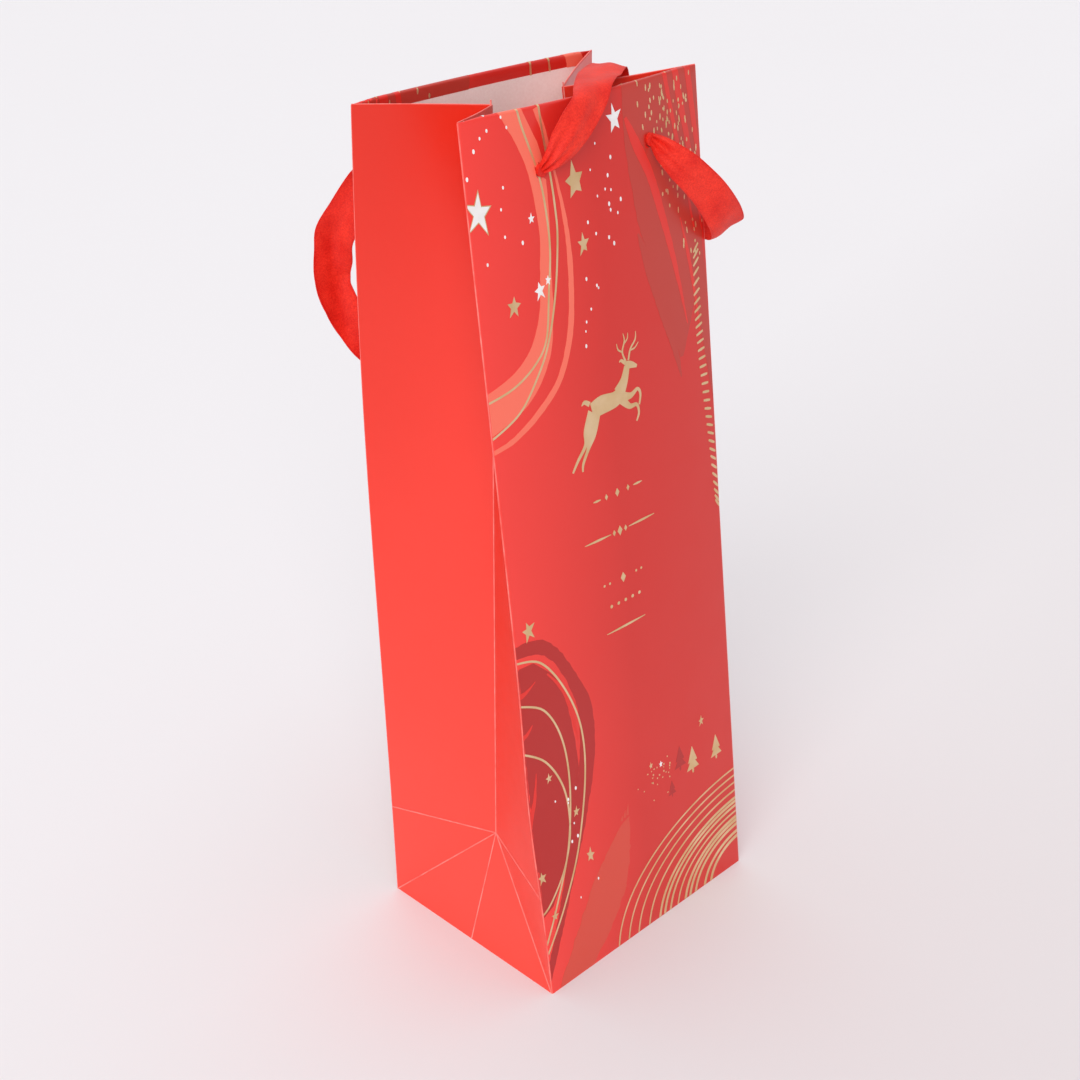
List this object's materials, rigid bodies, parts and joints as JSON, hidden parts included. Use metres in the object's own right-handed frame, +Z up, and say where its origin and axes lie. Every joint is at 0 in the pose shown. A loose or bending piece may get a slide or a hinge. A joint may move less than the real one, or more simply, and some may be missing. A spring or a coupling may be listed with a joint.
{
  "type": "wine gift bag",
  "caption": "Tall folded paper gift bag for a bottle, with inward-folded side gussets, a turned-in rim and two ribbon handles.",
  "frame": {"origin": "middle of the underside, where the bag stands", "axes": "+Z up, front panel faces -Y, +X to the right as seen from the front"},
  "size_m": [0.1391, 0.1233, 0.3558],
  "materials": {
    "printed_paper": "satin laminated print",
    "inner_paper": "uncoated white",
    "card": "matte",
    "ribbon": "satin weave"
  },
  "bodies": {
    "bag": {"back_panel": "printed_paper", "left_gusset_front_upper": "printed_paper", "left_gusset_front_lower": "printed_paper", "left_gusset_front_corner": "printed_paper", "left_gusset_front_foot": "printed_paper", "left_gusset_front_rim_hem": "inner_paper", "left_gusset_back_upper": "printed_paper", "left_gusset_back_lower": "printed_paper", "left_gusset_back_corner": "printed_paper", "left_gusset_back_foot": "printed_paper", "left_gusset_back_rim_hem": "inner_paper", "right_gusset_front_upper": "printed_paper", "right_gusset_front_lower": "printed_paper", "right_gusset_front_corner": "printed_paper", "right_gusset_front_foot": "printed_paper", "right_gusset_front_rim_hem": "inner_paper", "right_gusset_back_upper": "printed_paper", "right_gusset_back_lower": "printed_paper", "right_gusset_back_corner": "printed_paper", "right_gusset_back_foot": "printed_paper", "right_gusset_back_rim_hem": "inner_paper", "back_rim_hem": "inner_paper", "back_rim_card": "card", "seam_tab": "printed_paper", "front_base_flap": "printed_paper", "back_base_flap": "printed_paper", "left_base_flap": "inner_paper", "right_base_flap": "inner_paper", "base_board": "card", "back_knot_left": "ribbon", "back_knot_right": "ribbon"},
    "front_wall": {"front_panel": "printed_paper", "front_rim_card": "card", "front_rim_hem": "inner_paper", "front_knot_left": "ribbon", "front_knot_right": "ribbon"},
    "front_handle": {"front_ribbon": "ribbon"},
    "back_handle": {"back_ribbon": "ribbon"}
  },
  "joints": [
    {"name": "front_wall_fold", "type": "hinge", "parent": "bag", "child": "front_wall", "pos_m": [0, -0.04925, 0], "axis": [1, 0, 0], "range_deg": [-1.2, 5], "deforming": ["left_gusset_front_upper", "left_gusset_front_lower", "left_gusset_front_corner", "left_gusset_front_rim_hem", "right_gusset_front_upper", "right_gusset_front_lower", "right_gusset_front_corner", "right_gusset_front_rim_hem"]},
    {"name": "front_handle_swing", "type": "hinge", "parent": "front_wall", "child": "front_handle", "pos_m": [0.0015, -0.0201, 0.3316], "axis": [1, 0, 0], "range_deg": [0, 4]},
    {"name": "back_handle_swing", "type": "hinge", "parent": "bag", "child": "back_handle", "pos_m": [-0.0047, 0.0395, 0.3312], "axis": [1, 0, 0], "range_deg": [0, 80]}
  ]
}
